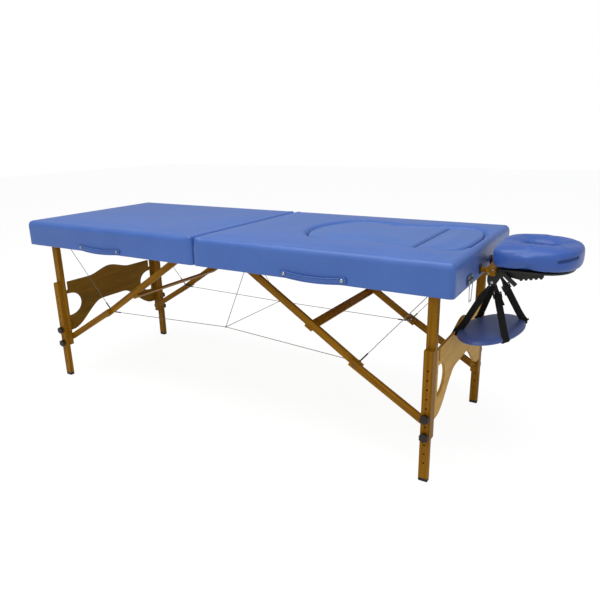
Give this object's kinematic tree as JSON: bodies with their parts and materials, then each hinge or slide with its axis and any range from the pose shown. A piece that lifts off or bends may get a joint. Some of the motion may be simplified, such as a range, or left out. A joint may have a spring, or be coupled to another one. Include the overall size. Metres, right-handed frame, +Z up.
{
  "type": "folding massage bed",
  "caption": "Two-section folding massage bed with wooden folding legs, cable braces, removable belly and breast inserts, a tilting face cradle and an arm sling.",
  "frame": {"origin": "on the floor, under the middle of the outline of the opened bed with its headrest", "axes": "+X along the bed towards the headrest, +Z up, -Y towards the side with the carrying handles"},
  "size_m": [2.1403, 0.7167, 0.7337],
  "materials": {
    "vinyl": "satin",
    "light_wood": "matte",
    "plywood": "matte",
    "leg_wood": "satin",
    "panel_wood": "satin",
    "steel": "satin",
    "cable_steel": "satin",
    "black_rubber": "matte",
    "black_plastic": "satin",
    "black_metal": "satin",
    "webbing": "matte"
  },
  "bodies": {
    "head_half": {"head_rails": "light_wood", "head_deck": "plywood", "head_pad": "vinyl", "head_blocks": "light_wood", "head_hinge_leaves": "steel", "head_handle": "vinyl", "latch_plate": "steel"},
    "hinge_pin": {"hinge_pins": "steel", "centre_cables": "cable_steel"},
    "foot_half": {"foot_rails": "light_wood", "foot_deck": "plywood", "foot_pad": "vinyl", "foot_blocks": "light_wood", "foot_hinge_leaves": "steel", "foot_handle": "vinyl", "latch_catch": "steel"},
    "head_legs": {"head_uprights": "leg_wood", "head_leg_panel": "panel_wood", "head_leg_bolts": "steel", "head_end_cables": "cable_steel"},
    "head_upper_links": {"head_upper_braces": "leg_wood", "head_crossbar": "leg_wood", "head_brace_pins": "steel"},
    "head_lower_links": {"head_lower_braces": "leg_wood", "head_knee_bolts": "steel"},
    "head_near_leg_end": {"head_near_extension": "leg_wood", "head_near_rubber": "black_rubber"},
    "head_near_lower_knob": {"head_near_lower_knob": "black_plastic"},
    "head_near_upper_knob": {"head_near_upper_knob": "black_plastic"},
    "head_far_leg_end": {"head_far_extension": "leg_wood", "head_far_rubber": "black_rubber"},
    "head_far_lower_knob": {"head_far_lower_knob": "black_plastic"},
    "head_far_upper_knob": {"head_far_upper_knob": "black_plastic"},
    "foot_legs": {"foot_uprights": "leg_wood", "foot_leg_panel": "panel_wood", "foot_leg_bolts": "steel", "foot_end_cables": "cable_steel"},
    "foot_upper_links": {"foot_upper_braces": "leg_wood", "foot_crossbar": "leg_wood", "foot_brace_pins": "steel"},
    "foot_lower_links": {"foot_lower_braces": "leg_wood", "foot_knee_bolts": "steel"},
    "foot_near_leg_end": {"foot_near_extension": "leg_wood", "foot_near_rubber": "black_rubber"},
    "foot_near_lower_knob": {"foot_near_lower_knob": "black_plastic"},
    "foot_near_upper_knob": {"foot_near_upper_knob": "black_plastic"},
    "foot_far_leg_end": {"foot_far_extension": "leg_wood", "foot_far_rubber": "black_rubber"},
    "foot_far_lower_knob": {"foot_far_lower_knob": "black_plastic"},
    "foot_far_upper_knob": {"foot_far_upper_knob": "black_plastic"},
    "belly": {"belly_insert": "vinyl"},
    "breast": {"breast_insert": "vinyl"},
    "headrest": {"headrest_base": "black_metal"},
    "cradle": {"cradle_platform": "black_plastic", "face_cushion": "vinyl"},
    "clamp_lever": {"cam_lever": "black_metal"},
    "sling": {"sling_pad": "vinyl", "sling_straps": "webbing", "sling_buckles": "black_plastic"},
    "bail": {"latch_bail": "steel"}
  },
  "joints": [
    {"name": "fold_first_half", "type": "hinge", "parent": "head_half", "child": "hinge_pin", "pos_m": [-0.141, 0, 0.614], "axis": [0, -1, 0], "range_deg": [0, 90], "deforming": ["centre_cables"]},
    {"name": "fold_second_half", "type": "hinge", "parent": "hinge_pin", "child": "foot_half", "pos_m": [-0.141, 0, 0.614], "axis": [0, -1, 0], "range_deg": [0, 90]},
    {"name": "head_leg_fold", "type": "hinge", "parent": "head_half", "child": "head_legs", "pos_m": [0.709, 0, 0.631], "axis": [0, 1, 0], "range_deg": [0, 90], "deforming": ["head_end_cables"]},
    {"name": "head_upper_link_fold", "type": "hinge", "parent": "head_half", "child": "head_upper_links", "pos_m": [-0.051, 0, 0.653], "axis": [0, 1, 0], "range_deg": [-32.33, 0]},
    {"name": "head_lower_link_fold", "type": "hinge", "parent": "head_legs", "child": "head_lower_links", "pos_m": [0.702, 0, 0.178], "axis": [0, 1, 0], "range_deg": [0, 58.13]},
    {"name": "head_near_height", "type": "slide", "parent": "head_legs", "child": "head_near_leg_end", "axis": [0, 0, 1], "range_m": [-0.093, 0.124]},
    {"name": "head_near_lower_knob_turn", "type": "hinge", "parent": "head_near_leg_end", "child": "head_near_lower_knob", "pos_m": [0.709, -0.32, 0.16], "axis": [0, -1, 0], "continuous": true},
    {"name": "head_near_upper_knob_turn", "type": "hinge", "parent": "head_near_leg_end", "child": "head_near_upper_knob", "pos_m": [0.709, -0.32, 0.222], "axis": [0, -1, 0], "continuous": true},
    {"name": "head_far_height", "type": "slide", "parent": "head_legs", "child": "head_far_leg_end", "axis": [0, 0, 1], "range_m": [-0.093, 0.124]},
    {"name": "head_far_lower_knob_turn", "type": "hinge", "parent": "head_far_leg_end", "child": "head_far_lower_knob", "pos_m": [0.709, 0.32, 0.16], "axis": [0, 1, 0], "continuous": true},
    {"name": "head_far_upper_knob_turn", "type": "hinge", "parent": "head_far_leg_end", "child": "head_far_upper_knob", "pos_m": [0.709, 0.32, 0.222], "axis": [0, 1, 0], "continuous": true},
    {"name": "foot_leg_fold", "type": "hinge", "parent": "foot_half", "child": "foot_legs", "pos_m": [-0.991, 0, 0.631], "axis": [0, -1, 0], "range_deg": [0, 90], "deforming": ["foot_end_cables"]},
    {"name": "foot_upper_link_fold", "type": "hinge", "parent": "foot_half", "child": "foot_upper_links", "pos_m": [-0.231, 0, 0.653], "axis": [0, -1, 0], "range_deg": [-32.33, 0]},
    {"name": "foot_lower_link_fold", "type": "hinge", "parent": "foot_legs", "child": "foot_lower_links", "pos_m": [-0.984, 0, 0.178], "axis": [0, -1, 0], "range_deg": [0, 58.13]},
    {"name": "foot_near_height", "type": "slide", "parent": "foot_legs", "child": "foot_near_leg_end", "axis": [0, 0, 1], "range_m": [-0.093, 0.124]},
    {"name": "foot_near_lower_knob_turn", "type": "hinge", "parent": "foot_near_leg_end", "child": "foot_near_lower_knob", "pos_m": [-0.991, -0.32, 0.16], "axis": [0, -1, 0], "continuous": true},
    {"name": "foot_near_upper_knob_turn", "type": "hinge", "parent": "foot_near_leg_end", "child": "foot_near_upper_knob", "pos_m": [-0.991, -0.32, 0.222], "axis": [0, -1, 0], "continuous": true},
    {"name": "foot_far_height", "type": "slide", "parent": "foot_legs", "child": "foot_far_leg_end", "axis": [0, 0, 1], "range_m": [-0.093, 0.124]},
    {"name": "foot_far_lower_knob_turn", "type": "hinge", "parent": "foot_far_leg_end", "child": "foot_far_lower_knob", "pos_m": [-0.991, 0.32, 0.16], "axis": [0, 1, 0], "continuous": true},
    {"name": "foot_far_upper_knob_turn", "type": "hinge", "parent": "foot_far_leg_end", "child": "foot_far_upper_knob", "pos_m": [-0.991, 0.32, 0.222], "axis": [0, 1, 0], "continuous": true},
    {"name": "belly_lift", "type": "slide", "parent": "head_half", "child": "belly", "axis": [0, 0, 1], "range_m": [0, 0.11]},
    {"name": "breast_lift", "type": "slide", "parent": "head_half", "child": "breast", "axis": [0, 0, 1], "range_m": [0, 0.11]},
    {"name": "headrest_slide", "type": "slide", "parent": "head_half", "child": "headrest", "axis": [1, 0, 0], "range_m": [0, 0.045]},
    {"name": "cradle_tilt", "type": "hinge", "parent": "headrest", "child": "cradle", "pos_m": [0.847, 0, 0.64], "axis": [0, 1, 0], "range_deg": [-10, 35]},
    {"name": "clamp_lever_turn", "type": "hinge", "parent": "headrest", "child": "clamp_lever", "pos_m": [0.847, -0.068, 0.64], "axis": [0, 1, 0], "range_deg": [0, 70]},
    {"name": "sling_swing", "type": "hinge", "parent": "headrest", "child": "sling", "pos_m": [0.819, 0, 0.602], "axis": [0, -1, 0], "range_deg": [0, 20]},
    {"name": "bail_swing", "type": "hinge", "parent": "head_half", "child": "bail", "pos_m": [0.7893, -0.2, 0.64], "axis": [0, -1, 0], "range_deg": [0, 120]}
  ],
  "couplings": [
    {"joint": "head_leg_fold", "follows": "fold_first_half", "ratio": 1},
    {"joint": "head_upper_link_fold", "follows": "fold_first_half", "ratio": -0.35918},
    {"joint": "head_lower_link_fold", "follows": "fold_first_half", "ratio": 0.64579},
    {"joint": "foot_leg_fold", "follows": "fold_first_half", "ratio": 1},
    {"joint": "foot_upper_link_fold", "follows": "fold_first_half", "ratio": -0.35918},
    {"joint": "foot_lower_link_fold", "follows": "fold_first_half", "ratio": 0.64579}
  ]
}
